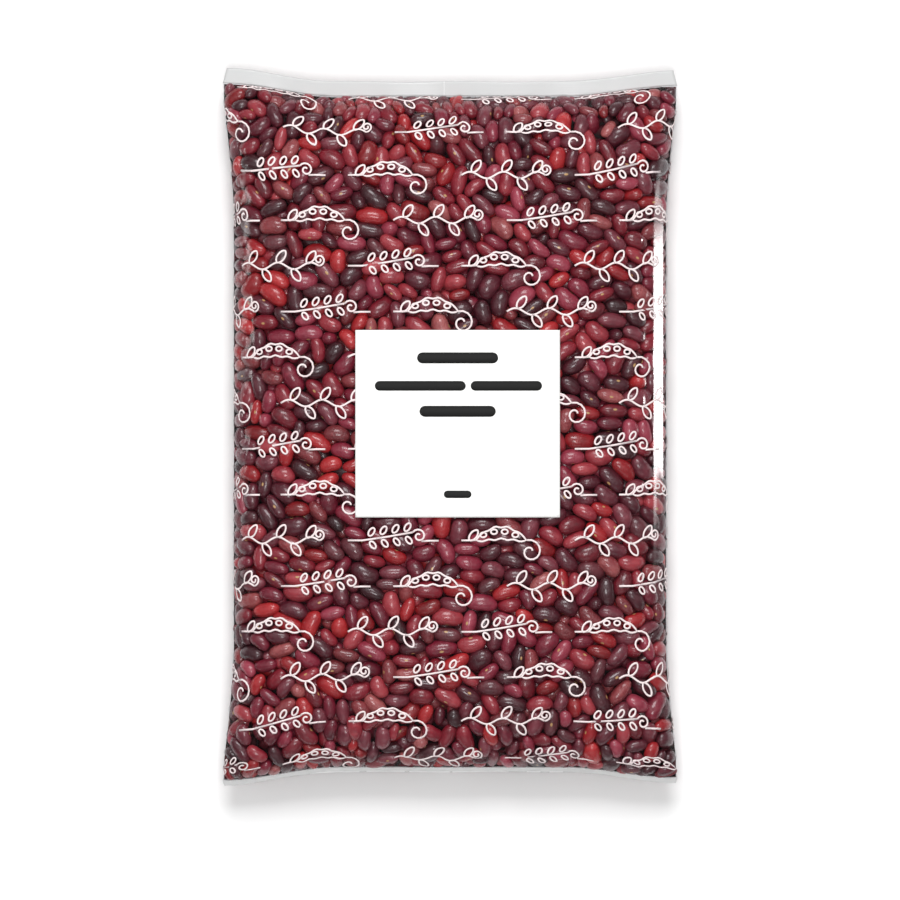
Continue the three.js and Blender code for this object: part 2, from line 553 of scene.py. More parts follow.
def spread_evenly(count):
    """Turns and shares v of places spread evenly over the film: steps of the plastic number on
    the film's cumulative area, lengthwise by rows and then round within a row."""
    v, turn, area = film_areas()
    rows = np.concatenate([[0], np.cumsum(area.sum(axis=1))])
    n = np.arange(count)
    plastic = 1.32471795724474602596
    first = (0.5 + n / plastic) % 1
    second = (0.5 + n / plastic**2) % 1
    long_place = np.interp(first * rows[-1], rows, np.arange(len(rows)))
    row = np.minimum(long_place.astype(int), len(area) - 1)
    shares = np.cumsum(area, axis=1) / area.sum(axis=1, keepdims=True)
    stacked = np.concatenate([[0], (shares + np.arange(len(area))[:, None]).ravel()])
    round_place = np.interp(row + second, stacked, np.arange(len(stacked))) - row * area.shape[1]
    return (
        np.interp(round_place, np.arange(len(turn)), turn),
        np.interp(long_place, np.arange(len(v)), v),
    )


def near_pairs(first, second, reach):
    """Indices of points of two sets that are nearer than reach. The second set is sorted by the
    cube of space that holds each point, and each point of the first is compared with the nine
    columns of three cubes about its own. Of a set with itself, each pair comes once."""
    low = np.minimum(first.min(axis=0), second.min(axis=0)) - 2 * reach
    cubes = [np.floor((points - low) / reach).astype(np.int64) for points in (first, second)]
    size = np.maximum(cubes[0].max(axis=0), cubes[1].max(axis=0)) + 3
    keys = [(c[:, 0] * size[1] + c[:, 1]) * size[2] + c[:, 2] for c in cubes]
    order = np.argsort(keys[1], kind="stable")
    sorted_key = keys[1][order]
    same = first is second
    visit = order if same else np.arange(len(first))
    rank = np.arange(len(visit))
    found_first, found_second = [], []
    for side in (-1, 0, 1):
        for along in (-1, 0, 1):
            column = keys[0][visit] + (side * size[1] + along) * size[2]
            start = np.searchsorted(sorted_key, column - 1, "left")
            stop = np.searchsorted(sorted_key, column + 1, "right")
            if same:
                start = np.maximum(start, rank + 1)
            count = np.maximum(stop - start, 0)
            ahead = np.arange(count.sum()) - np.repeat(np.cumsum(count) - count, count)
            a = np.repeat(visit, count)
            b = order[np.repeat(start, count) + ahead]
            apart = first[a] - second[b]
            near = dot(apart, apart) < reach**2
            found_first.append(a[near])
            found_second.append(b[near])
    return np.concatenate(found_first), np.concatenate(found_second)


def wall_planes(points, front):
    """Planes that touch the front or back film near each point: one where a line from the
    seal plane's middle through the point meets the film, one straight above or below the point,
    and one at the nearer seal line. Each is an outward direction and the point's depth behind
    the plane. The first two are from the gradient of the superellipse."""
    rise, power, up = (FRONT_RISE, FRONT_ROUNDNESS, 1) if front else (BACK_DEPTH, BACK_ROUNDNESS, -1)
    v = np.clip((points[:, 1] - MIDDLE_Y) / HALF_LENGTH, -END_LIMIT, END_LIMIT)
    step = SLOPE_STEP
    wide = half_width(v)
    high = rise * lengthwise(v)
    wide_slope = (half_width(v + step) - half_width(v - step)) / (2 * step * HALF_LENGTH)
    high_slope = rise * (lengthwise(v + step) - lengthwise(v - step)) / (2 * step * HALF_LENGTH)
    x = points[:, 0] / wide
    z = np.maximum(up * (points[:, 2] - SEAL_HEIGHT), 0) / high
    reach = np.maximum((np.abs(x) ** power + z**power) ** (1 / power), 1e-3)
    capped = np.clip(x, -SIDE_LIMIT, SIDE_LIMIT)
    places = ((x / reach, z / reach), (capped, (1 - np.abs(capped) ** power) ** (1 / power)))
    planes = []
    for px, pz in places:
        touch = np.stack([px * wide, points[:, 1], SEAL_HEIGHT + up * pz * high], axis=-1)
        lean = np.abs(px) ** power * wide_slope / wide + pz**power * high_slope / high
        across = np.sign(px) * np.abs(px) ** (power - 1) / wide
        out = unit(np.stack([across, -lean, up * pz ** (power - 1) / high], axis=-1))
        planes.append((out, dot(touch - points, out)))
    end = np.zeros_like(points)
    end[:, 1] = np.sign(v)
    planes.append((end, HALF_LENGTH + SEAL_GIVE - np.abs(points[:, 1] - MIDDLE_Y)))
    return planes


def hold_in(points, radius, press):
    """Balls moved back behind the film and above the floor. When the pile presses, they also
    move out again by a share of what lies deeper than the pile."""
    nearest = np.full(len(points), np.inf)
    outward = np.zeros_like(points)
    for front in (True, False):
        for out, depth in wall_planes(points, front):
            points = points - out * np.maximum(radius + FILM_GAP - depth, 0)[:, None]
            closer = depth < nearest
            nearest = np.where(closer, depth, nearest)
            outward = np.where(closer[:, None], out, outward)
    points[:, 2] = np.maximum(points[:, 2], radius + FILM_GAP)
    if not press:
        return points
    on_floor = points[:, 2] < nearest
    nearest = np.where(on_floor, points[:, 2], nearest)
    outward = np.where(on_floor[:, None], np.array([0.0, 0.0, -1.0]), outward)
    too_deep = np.maximum(nearest + radius - PILE_DEPTH, 0)
    return points + outward * (RETURN * too_deep + PRESS)[:, None]


def start_beans(rng):
    """Each bean's size, turn and middle before it settles: in even layers under the film, mostly
    lying along it, with their flat sides mostly towards it."""
    area = film_areas()[2].sum()
    middles, normals, scales = [], [], []
    for depth, share, reach, scale in LAYERS:
        turn, v = spread_evenly(int(share * area / BEAN_SPACING**2))
        turn, v = turn[from_seal(v) < reach], v[from_seal(v) < reach]
        normals.append(film_normal(turn, v))
        middles.append(film_point(turn, v) - normals[-1] * depth)
        scales.append(np.full(len(v), scale))
    middle, normal = np.concatenate(middles), np.concatenate(normals)
    # The beans settle in a bag with straight seals, and take up the bow when they are drawn
    v = (middle[:, 1] - MIDDLE_Y) / HALF_LENGTH
    middle[:, 1] -= bow(middle[:, 0] / half_width(v), v)
    size = rng.normal(1, SHAPE_SPREAD, (len(middle), 3)) * rng.normal(1, SIZE_SPREAD, (len(middle), 1))
    size = np.clip(size, *SIZE_LIMITS) * np.concatenate(scales)[:, None]
    size[:, 1:] = (size[:, 1:] + size[:, 1:2]) / 2
    long_way = rng.normal(0, 1, middle.shape)
    long_way = unit(long_way - LYING_FLAT * normal * dot(long_way, normal)[:, None])
    side_way = unit(np.cross(normal + rng.normal(0, ROLL_SPREAD, middle.shape), long_way))
    return size, np.stack([long_way, side_way, np.cross(long_way, side_way)], axis=-1), middle


def settle_beans(rng):
    """Balls that overlap push each other apart, the film holds them in, and each bean's six
    balls are then fitted back to its rigid shape by the polar part of their spread. Returns the
    size, turn and middle of each bean, and all balls with their radii."""
    size, turn, middle = start_beans(rng)
    count = len(middle)
    layout = np.stack([BALL_STATIONS, BALL_SIDES, np.zeros(6)], axis=-1)
    layout = (layout - layout.mean(axis=0))[None] * size[:, None, :]
    radius = (BALL_RADIUS * size[:, 2:] * BALL_SHARES).ravel()
    owner = np.repeat(np.arange(count), 6)
    balls = (middle[:, None, :] + np.einsum("nij,nbj->nbi", turn, layout)).reshape(-1, 3)
    for step in range(SETTLE_STEPS):
        if step % REGROUP_EVERY == 0:
            a, b = near_pairs(balls, balls, 2 * radius.max() + PAIR_MARGIN)
            a, b = a[owner[a] != owner[b]], b[owner[a] != owner[b]]
        gap = balls[b] - balls[a]
        apart = np.maximum(np.linalg.norm(gap, axis=1), 1e-9)
        gap *= (PUSH * np.maximum(radius[a] + radius[b] - apart, 0) / apart)[:, None]
        for axis in range(3):
            balls[:, axis] += np.bincount(b, gap[:, axis], len(balls))
            balls[:, axis] -= np.bincount(a, gap[:, axis], len(balls))
        shape = hold_in(balls, radius, True).reshape(count, 6, 3)
        middle = shape.mean(axis=1)
        spread = np.einsum("nbi,nbj->nij", shape - middle[:, None, :], layout)
        left, _, right = np.linalg.svd(spread)
        left[:, :, 2] *= np.linalg.det(left @ right)[:, None]
        turn = left @ right
        balls = (middle[:, None, :] + np.einsum("nij,nbj->nbi", turn, layout)).reshape(-1, 3)
    for _ in range(LAST_STEPS):
        # Whole beans go back by as much as the ball that stands out furthest
        back = (hold_in(balls, radius, False) - balls).reshape(count, 6, 3)
        furthest = np.linalg.norm(back, axis=2).argmax(axis=1)
        shift = back[np.arange(count), furthest]
        middle = middle + shift
        balls += np.repeat(shift, 6, axis=0)
    v = np.clip((middle[:, 1] - MIDDLE_Y) / HALF_LENGTH, -1, 1)
    shift = bow(np.clip(middle[:, 0] / half_width(v), -1, 1), v)
    middle[:, 1] += shift
    balls[:, 1] += np.repeat(shift, 6)

    # Of two beans that still lie deep in each other, one is made smaller
    a, b = near_pairs(balls, balls, 2 * radius.max())
    overlap = radius[a] + radius[b] - np.linalg.norm(balls[b] - balls[a], axis=1)
    deep = (owner[a] != owner[b]) & (overlap > TOO_CLOSE)
    smaller = np.ones(count)
    smaller[np.maximum(owner[a[deep]], owner[b[deep]])] = SHRINK
    return size * smaller[:, None], turn, middle, balls, radius * np.repeat(smaller, 6)


def bean_shape(rows, around):
    """A kidney: an ellipse of sine rows with blunt ends, bent by the square of the distance from
    its middle, with a dent on the inner side. Rows run along x and points turn about it, in
    shares of the half length, half width and half thickness."""
    row = np.pi * np.arange(1, rows + 1) / (rows + 1)
    spin = 2 * np.pi * np.arange(around) / around
    along = -np.cos(row)[:, None] + 0 * spin[None, :]
    thick = (np.sin(row) ** BEAN_BLUNTNESS)[:, None]
    inner = np.maximum(-np.cos(spin), 0)[None, :] ** 2
    dent = BEAN_DENT * np.exp(-((along / BEAN_DENT_REACH) ** 2)) * inner
    side = thick * np.cos(spin)[None, :] + dent + BEAN_BEND * (BEND_LEVEL - along**2)
    body = np.stack([along, side, thick * np.sin(spin)[None, :]], axis=-1).reshape(-1, 3)
    pole_side = BEAN_BEND * (BEND_LEVEL - 1)
    poles = np.array([[-1, pole_side, 0], [1, pole_side, 0]])
    return np.concatenate([body, poles]) * np.array([BEAN_LENGTH, BEAN_WIDTH, BEAN_THICKNESS]) / 2


def bean_faces(rows, around):
    """Quads between the rows and triangles to the two poles, and for each corner its share along
    the bean and round it."""
    here = np.arange(around)
    after = (here + 1) % around
    ring = np.arange(rows - 1)[:, None] * around
    quads = np.stack([ring + here, ring + around + here, ring + around + after, ring + after], axis=-1)
    last = (rows - 1) * around
    pole = rows * around
    near_cap = np.stack([0 * here + pole, here, after], axis=-1)
    far_cap = np.stack([0 * here + pole + 1, last + after, last + here], axis=-1)

    step_along, step_round = 1 / (rows + 1), 1 / around
    row = (np.arange(rows - 1)[:, None] + 1) * step_along
    low, high = here * step_round, (here + 1) * step_round
    quad_corners = ((row, low), (row + step_along, low), (row + step_along, high), (row, high))
    near_corners = ((0.0, low), (step_along, low), (step_along, high))
    far_corners = ((1.0, low), (1 - step_along, high), (1 - step_along, low))
    quad_uv, near_uv, far_uv = (
        np.stack([np.stack(np.broadcast_arrays(*c), axis=-1) for c in corners], axis=-2)
        for corners in (quad_corners, near_corners, far_corners)
    )
    return (
        quads.reshape(-1, 4),
        np.concatenate([near_cap, far_cap]),
        quad_uv.reshape(-1, 2),
        np.concatenate([near_uv, far_uv]).reshape(-1, 2),
    )


def make_beans(rng, size, turn, middle):
    """All beans, shaped, sized, turned and placed, in one mesh for each kind."""
    shape = bean_shape(BEAN_ROWS, BEAN_AROUND)
    quads, caps, quad_uv, cap_uv = bean_faces(BEAN_ROWS, BEAN_AROUND)
    shares = np.cumsum([kind[0] for kind in KINDS.values()])
    kind_of = np.searchsorted(shares / shares[-1], rng.random(len(middle)))
    tone = rng.uniform(*TONE_LIMITS, len(middle))
    for index, (name, (_, dark, body, bright, wrinkle)) in enumerate(KINDS.items()):
        mine = np.flatnonzero(kind_of == index)
        local = shape[None] * size[mine][:, None, :]
        points = middle[mine][:, None, :] + np.einsum("nij,nbj->nbi", turn[mine], local)
        points[:, :, 2] += np.maximum(FLOOR_GAP - points[:, :, 2].min(axis=1), 0)[:, None]
        start = (np.arange(len(mine)) * len(shape))[:, None, None]
        piece = build_mesh(
            f"beans_{name}",
            points.reshape(-1, 3),
            quads[None] + start,
            caps[None] + start,
            uv=np.concatenate([np.tile(quad_uv, (len(mine), 1)), np.tile(cap_uv, (len(mine), 1))]),
            tone=np.repeat(tone[mine], len(shape)),
        )
        coat = seed_coat(f"bean_seed_coat_{name}", dark, body, bright, wrinkle)
        add_piece(piece, coat)


# How far the core is drawn in from the film: at the sides, at the seals, and above and below
CORE_INSET = np.array([0.8, 0.6, 13.5]) * MM
CORE_TAPER = 16 * MM
CORE_AROUND = 96
CORE_RINGS = 80


def make_core():
    """What lies behind the outer beans: the bag's form shrunk about the middle of its seal plane, by
    nearly the depth of the pile above and below. Towards its rim its height falls by a smooth step, so
    that it ends in a thin edge between the beans. Its dark colour is painted shade, so that the gaps
    between the outer beans read as shade."""
    turn = 2 * np.arange(CORE_AROUND) / CORE_AROUND
    v = ring_shares(CORE_RINGS)
    middle = np.array([0, MIDDLE_Y, SEAL_HEIGHT])
    share = 1 - 2 * CORE_INSET / np.array([BODY_WIDTH, 2 * HALF_LENGTH, HEIGHT])
    grid = (film_point(turn[None, :], v[:, None]) - middle) * share
    from_side = (1 - np.abs(across_at(turn)[0])) * half_width(v)[:, None]
    inward = np.minimum(from_side, from_seal(v)[:, None])
    grid[..., 2] *= smooth_step(inward / CORE_TAPER)
    grid += middle
    points, quads = tube_mesh(grid)
    return add_piece(build_mesh("inner_beans", points, quads), inner_pile())


# The film

FILM_AROUND = 320
FILM_RINGS = 230
DRAPE_DEPTH = 1.5 * MM
DRAPE_SHARE = 0.8
DRAPE_PASSES = 3
FOLD_ACROSS = (0.925, 0.98079, 0.99692)
FOLD_FULLNESS = (0.624, 0.4698, 0.2235)
FOLD_ENDS = (-52 * MM, 152 * MM)
FOLD_TAPER = 30 * MM
FOLD_FADE = 16 * MM
TAUT_START = 0.02  # how far inside the fold the film begins to be taut, and over what share
TAUT_WIDTH = 0.025
TAUT_REACH = 40 * MM
SEAL_REACH = 6 * MM  # how far from a seal the film is free to sink between the beans
BALL_REACH = 3.5 * MM


def neighbour_mean(grid):
    """Each value's mean with its four neighbours: the grid is closed round its columns, and its
    end rows have themselves as neighbours."""
    up = np.concatenate([grid[:1], grid[:-1]])
    down = np.concatenate([grid[1:], grid[-1:]])
    return (grid + up + down + np.roll(grid, 1, axis=1) + np.roll(grid, -1, axis=1)) / 5


def drape(grid, out, balls, radius):
    """How far the film sinks between the beans: the free way straight in to the nearest ball, up
    to a limit, averaged with its neighbours, and never so far that a ball would come through."""
    film, normal = grid.reshape(-1, 3), out.reshape(-1, 3)
    a, b = near_pairs(film, balls, radius.max() + BALL_REACH)
    gap = balls[b] - film[a]
    inward = -dot(gap, normal[a])
    aside = dot(gap, gap) - inward**2
    under = aside < radius[b] ** 2
    free = inward[under] - np.sqrt(radius[b][under] ** 2 - aside[under])
    nearest = np.full(len(film), DRAPE_DEPTH)
    np.minimum.at(nearest, a[under], free)
    nearest = nearest.reshape(grid.shape[:2])
    sink = DRAPE_SHARE * nearest
    for _ in range(DRAPE_PASSES):
        sink = neighbour_mean(sink)
    return np.minimum(sink, nearest - FILM_GAP)


def taut_fold(turn, v):
    """A long fold down the right side of the front, where the film is drawn into a flat facet
    with a sharp outer edge: how far straight lines between the fold's edges stand over the
    film's curve. It fades at its ends, at the low one first on its inner side. Also how taut
    the film is, 0 to 1: it is taut down the whole of that side."""
    across, front = across_at(turn)
    y = MIDDLE_Y + v * HALF_LENGTH
    inner, outer = FOLD_ACROSS[:2]
    low, high = FOLD_ENDS
    low = low + FOLD_TAPER * np.clip((outer - across) / (outer - inner), 0, 1)
    ends = smooth_step((y - low) / FOLD_FADE) * smooth_step((high - y) / FOLD_FADE)
    ends = ends * np.where(front, 1, 0)
    base = np.maximum(1 - np.abs(across) ** FRONT_ROUNDNESS, 0) ** (1 / FRONT_ROUNDNESS)
    fold = np.interp(across, FOLD_ACROSS, FOLD_FULLNESS, left=0, right=0)
    lift = FRONT_RISE * lengthwise(v) * np.maximum(fold - base, 0) * ends
    taut = smooth_step((across - inner + TAUT_START) / TAUT_WIDTH)
    return lift, taut * smooth_step(from_seal(v) / TAUT_REACH)


def shape_film(balls, radius):
    """The film's grid and its outward directions: the bag's form, sunk a little between the
    beans, with the taut fold. Its end rings are the seal lines, where the two sheets meet."""
    turn = 2 * np.arange(FILM_AROUND) / FILM_AROUND
    v = ring_shares(FILM_RINGS)
    grid = film_point(turn[None, :], v[:, None])
    out = film_normal(turn[None, :], v[:, None])
    free = smooth_step(from_seal(v) / SEAL_REACH)[:, None]
    lift, taut = taut_fold(turn[None, :], v[:, None])
    sink = drape(grid, out, balls, radius) * free * (1 - taut)
    grid = grid - out * sink[..., None]
    grid[..., 2] += lift
    grid[..., 2] = np.maximum(grid[..., 2], FLOOR_GAP)
    across, front = across_at(turn)
    sheet = SHEET * np.where(front, 1, -1) * (1 - np.abs(across) ** EDGE_SHARPNESS)
    grid[[0, -1], :, 2] = SEAL_HEIGHT + sheet
    return grid, out


def on_film(film, turn, v, lift):
    """Points at a lift above the film's grid, between its four nearest grid points."""
    grid, out = film
    column = (turn % 2) * FILM_AROUND / 2
    row = (np.arcsin(np.clip(v, -1, 1)) / np.pi + 0.5) * (FILM_RINGS - 1)
    i = np.clip(row.astype(int), 0, FILM_RINGS - 2)
    j = column.astype(int) % FILM_AROUND
    di, dj = (row - i)[..., None], (column - column.astype(int))[..., None]
    after = (j + 1) % FILM_AROUND
    place = (
        grid[i, j] * (1 - di) * (1 - dj)
        + grid[i + 1, j] * di * (1 - dj)
        + grid[i, after] * (1 - di) * dj
        + grid[i + 1, after] * di * dj
    )
    return place + unit(out[i, j] * (1 - dj) + out[i, after] * dj) * lift


def make_film(film):
    """The film's grid as one closed tube, which stands in the CAD bag's place."""
    points, quads = tube_mesh(film[0])
    piece = build_mesh("film", points, quads)
    add_piece(piece, clear_film())
    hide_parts("bag")
    return piece


# The flaps and the lap seal

FLAP_COLUMNS = 161
FLAP_ROWS = 9
RIPPLE_HEIGHT = 0.45 * MM
RIPPLE_LENGTH = 17 * MM  # from crest to crest over two pi, like the two lengths below
FINE_RIPPLE_LENGTH = 7.3 * MM
FINE_RIPPLE_SHARE = 0.6
EDGE_WANDER = 0.25 * MM  # how far the cut edge strays
EDGE_WANDER_LENGTH = 11 * MM
LAP_ACROSS = (-0.065, 0.02)
LAP_REACH = 0.998
LAP_LIFT = 0.02 * MM
LAP_THICKNESS = 0.2 * MM
LAP_COLUMNS = 7
LAP_ROWS = 201
SEAM_X = -3.7 * MM
SEAM_HALF_WIDTH = 0.002  # as a share of the half width
SEAM_SHARE = (0, 0.99)
# Stretches of the foot flap's cut edge painted near-white as a highlight: the share of the flap they
# cover, their columns, and their spans across
HIGHLIGHT_SHARE = (0.8, 1.02)
HIGHLIGHT_COLUMNS = 24
PAINTED_HIGHLIGHT_EDGES = [(-0.62, -0.4), (-0.37, -0.2), (-0.18, 0.0), (0.01, 0.26), (0.34, 0.4), (0.44, 0.5)]


def flap_point(end, across, share):
    """The sealed film past a seal line: a straight ruled strip from the line, where the share is
    0, to its cut edge, where it is 1, with a faint ripple that grows towards the edge."""
    flap = HEADER_FLAP if end > 0 else FOOT_FLAP
    x = across * (half_width(end) - flap["inset"] * share)
    y = MIDDLE_Y + end * (HALF_LENGTH + flap["length"] * share) + bow(across, end)
    ripple = np.sin(x / RIPPLE_LENGTH) + FINE_RIPPLE_SHARE * np.sin(x / FINE_RIPPLE_LENGTH + 1)
    y = y + EDGE_WANDER * share * np.sin(x / EDGE_WANDER_LENGTH + end)
    z = SEAL_HEIGHT - flap["drop"] * share + RIPPLE_HEIGHT * share * ripple
    return np.stack(np.broadcast_arrays(x, y, z), axis=-1)


def make_flap(name, end, across, share, rise, material):
    """A thin slab over a part of the sealed film past a seal line, raised over its middle."""
    rows = np.linspace(*share, FLAP_ROWS)[:: int(end), None]
    middle = flap_point(end, across[None, :], rows) + np.array([0, 0, rise])
    lift = np.array([0, 0, SHEET])
    points, quads = slab_mesh(middle - lift, middle + lift)
    return add_piece(build_mesh(name, points, quads), material)


def make_flaps():
    """Both flaps, the lap seam's edge that shows as a pale line in the header, and stretches of the
    foot flap's cut edge in near-white: a painted highlight, where the edge catches the light."""
    wide = np.linspace(-1, 1, FLAP_COLUMNS)
    # Near-white finish: the painted highlight on the foot flap's cut edge
    bright = plain_finish("painted_highlight_cut_edge", "#FBFBFB", 0.3)
    make_flap("header_flap", 1.0, wide, (0, 1), 0, sealed_film("heat_sealed_header", "#D3D4D4"))
    # The foot flap's milk is much paler than the header's: painted light, making up for the shade that
    # the foot lies in
    make_flap("foot_flap", -1.0, wide, (0, 1), 0, sealed_film("heat_sealed_foot_painted_light", "#F2F2F2"))
    seam = SEAM_X / half_width(1.0) + np.linspace(-SEAM_HALF_WIDTH, SEAM_HALF_WIDTH, 3)
    pale = plain_finish("lap_seam_edge", "#DCDDDD", 0.5)
    make_flap("header_seam", 1.0, seam, SEAM_SHARE, 2 * SHEET, pale)
    for index, (low, high) in enumerate(PAINTED_HIGHLIGHT_EDGES):
        stretch = np.linspace(low, high, HIGHLIGHT_COLUMNS)
        make_flap(f"foot_edge_{index}", -1.0, stretch, HIGHLIGHT_SHARE, 2 * SHEET, bright)


def make_lap_seal(film):
    """The lengthwise seal of the tube: a strip of film laid flat against the back."""
    across = np.linspace(*LAP_ACROSS, LAP_COLUMNS)[None, :]
    v = LAP_REACH * ring_shares(LAP_ROWS)[:, None]
    turn = 2 - np.arccos(-across) / np.pi
    turn, v = np.broadcast_arrays(turn, v)
    inner = on_film(film, turn, v, LAP_LIFT)
    outer = on_film(film, turn, v, LAP_LIFT + LAP_THICKNESS)
    # The back's outward side is down, so the outer grid is the slab's lower one
    points, quads = slab_mesh(outer, inner)
    finish = sealed_film("heat_sealed_lap", "#E2E2E2")
    return add_piece(build_mesh("lap_seal", points, quads), finish)


# The print on the film

LINE_WIDTH = 1.15 * MM
PRINT_LIFT = 0.1 * MM
PRINT_THICKNESS = 0.06 * MM
ROW_PITCH = 28.2 * MM
ROW_PHASE = 17.7 * MM
ROW_SHIFTS = (0.5, 0.1)
MOTIF_PITCH = 70 * MM
MOTIF_WIDTH = 56 * MM
PRINT_MARGIN = 5 * MM
TABLE_ROWS = 401
TABLE_COLUMNS = 481

# A stroke is its points in mm, from the motif's left end, and whether it is closed


def line(*points):
    """An open stroke straight from point to point."""
    return np.array(points, dtype=float), False


def wave(length, height, cycles):
    """An open stroke along a sine of some cycles, from the motif's left end."""
    t = np.linspace(0, 1, int(12 * cycles) + 2)
    return np.stack([length * t, height * np.sin(2 * np.pi * cycles * t)], -1), False


def oval(x, y, wide, high, angle=0.0):
    """A closed ellipse turned by an angle."""
    t = 2 * np.pi * np.arange(14) / 14
    c, s = np.cos(angle), np.sin(angle)
    a, b = wide / 2 * np.cos(t), high / 2 * np.sin(t)
    return np.stack([x + a * c - b * s, y + a * s + b * c], -1), True


def leaf(x, y, length, wide, angle):
    """A closed leaf from its stalk: two sine edges that meet in a point at each end."""
    t = np.linspace(0, np.pi, 9)
    a = length * (1 - np.cos(t)) / 2
    b = wide / 2 * np.sin(t) ** 1.3
    edge = np.concatenate([np.stack([a, b], -1), np.stack([a, -b], -1)[-2:0:-1]])
    c, s = np.cos(angle), np.sin(angle)
    return edge @ np.array([[c, s], [-s, c]]) + np.array([x, y]), True


def curl(x, y, radius, turns, angle, hand=1):
    """A tendril that winds in from a point: a spiral whose radius shrinks to a fifth."""
    t = np.linspace(0, 1, int(14 * turns) + 2)
    shrink = radius * (1 - 0.8 * t)
    spin = angle + hand * 2 * np.pi * turns * t
    spiral = np.stack([shrink * np.cos(spin), shrink * np.sin(spin)], -1)
    return spiral - spiral[0] + np.array([x, y]), False


def pod(x, y, length, wide, lift):
    """A closed bean pod: an arched middle line with an edge each side that swells over each of
    four seeds."""
    t = np.linspace(0, 1, 21)
    arch = lift * np.sin(np.pi * t)
    half = wide / 2 * np.sin(np.pi * t) ** 0.55 * (1 + 0.14 * np.cos(8 * np.pi * t - np.pi))
    top = np.stack([x + length * t, y + arch + half], -1)
    bottom = np.stack([x + length * t, y + arch - half], -1)
    return np.concatenate([top, bottom[-2:0:-1]]), True


def pod_motif():
    """A pod of four seeds on a level stalk, with a tendril that loops down past its tip."""
    heights = [1.2 + 4.4 * np.sin(np.pi * (k + 0.75) / 4.5) for k in range(4)]
    seeds = [oval(13.5 + 6.6 * k, height, 3.9, 3.0) for k, height in enumerate(heights)]
    return [
        line((0, 0), (4, 0), (9, 0.2)),
        pod(9, 0.2, 31, 7.6, 4.4),
        *seeds,
        curl(40, 0.2, 7.5, 1.25, 1.9, -1),
        leaf(5, 0, 8, 4.2, 0.9),
    ]


def vine_motif():
    """A waving stem with leaves above and below in turn, and a curl at its end."""
    leaves = []
    for k in range(5):
        side = 1 if k % 2 == 0 else -1
        x = 6.5 + 9.5 * k
        leaves.append(leaf(x, 2.1 * np.sin(2 * np.pi * 2.5 * x / 52), 9, 4.6, side * 0.95))
    return [wave(52, 2.1, 2.5), *leaves, curl(52, 0, 3.6, 1.4, -1.6, 1)]


def sprig_motif():
    """A rising stem with pairs of small beans, a level line before and after, and a low loop."""
    beans = []
    for k in range(4):
        x = 13 + 7.4 * k
        y = 0.5 + 0.13 * (x - 9)
        beans.append(oval(x + 1.6, y + 4.2, 5.6, 3.2, 1.0))
        beans.append(oval(x + 2.4, y - 3.8, 5.2, 3.0, -0.9))
    return [
        line((0, 0), (9, 0), (24, 2.2), (40, 5.0)),
        *beans,
        curl(40, 5.0, 4.4, 1.3, 2.6, -1),
        line((45.5, -0.5), (50, -0.2), (56, -0.2)),
    ]


def ribbon(points, closed):
    """A stroke's flat closed ribbon: its points moved half the line's width to each side along
    the corner's normal, each with its level, 0 for the underside and 1 for the top."""
    points = points * MM
    if closed:
        along = np.roll(points, -1, axis=0) - np.roll(points, 1, axis=0)
    else:
        along = np.gradient(points, axis=0)
    along = unit(along)
    side = np.stack([-along[:, 1], along[:, 0]], -1) * LINE_WIDTH / 2
    count = len(points)
    flat = np.concatenate([points - side, points + side, points - side, points + side])
    level = np.repeat([0.0, 0.0, 1.0, 1.0], count)
    i = np.arange(count if closed else count - 1)
    j = (i + 1) % count
    right_low, left_low, right_top, left_top = (k * count for k in range(4))
    quads = [
        np.stack([right_top + i, right_top + j, left_top + j, left_top + i], -1),
        np.stack([right_low + i, left_low + i, left_low + j, right_low + j], -1),
        np.stack([right_low + i, right_low + j, right_top + j, right_top + i], -1),
        np.stack([left_low + i, left_top + i, left_top + j, left_low + j], -1),
    ]
    if not closed:
        end = count - 1
        quads.append(np.array([[right_low, right_top, left_top, left_low]]))
        quads.append(np.array([[right_low, left_low, left_top, right_top]]) + end)
    return np.column_stack([flat, level]), np.concatenate(quads)


def unrolled_tables():
    """Tables that unroll the film: lengthwise arc by share v along the front's middle, and, for
    each row, arc round the film by turn, from the front's middle."""
    v = ring_shares(TABLE_ROWS)
    middle = film_point(np.full_like(v, 0.5), v)
    arc = np.concatenate([[0], np.cumsum(np.linalg.norm(np.diff(middle, axis=0), axis=1))])
    turn = np.linspace(-0.5, 1.5, TABLE_COLUMNS)
    rows = film_point(turn[None, :], v[:, None])
    girth = np.cumsum(np.linalg.norm(np.diff(rows, axis=1), axis=2), axis=1)
    girth = np.concatenate([np.zeros((len(v), 1)), girth], axis=1)
    return v, arc - arc[TABLE_ROWS // 2], turn, girth - girth[:, TABLE_COLUMNS // 2, None]


def roll_on(tables, round_arc, long_arc):
    """Turn and share v of places given by arc round the film and arc along it."""
    v_table, arc, turn_table, girth = tables
    row_place = np.interp(long_arc, arc, np.arange(len(arc)))
    row = np.round(row_place).astype(int)
    span = girth[:, -1] - girth[:, 0]
    base = np.concatenate([[0], np.cumsum(span[:-1] + 1)])
    stacked = (girth - girth[:, :1] + base[:, None]).ravel()
    aim = np.clip(round_arc - girth[row, 0], 0, span[row]) + base[row]
    place = np.interp(aim, stacked, np.arange(len(stacked))) - row * len(turn_table)
    turn = np.interp(place, np.arange(len(turn_table)), turn_table)
    return turn, np.interp(row_place, np.arange(len(v_table)), v_table)


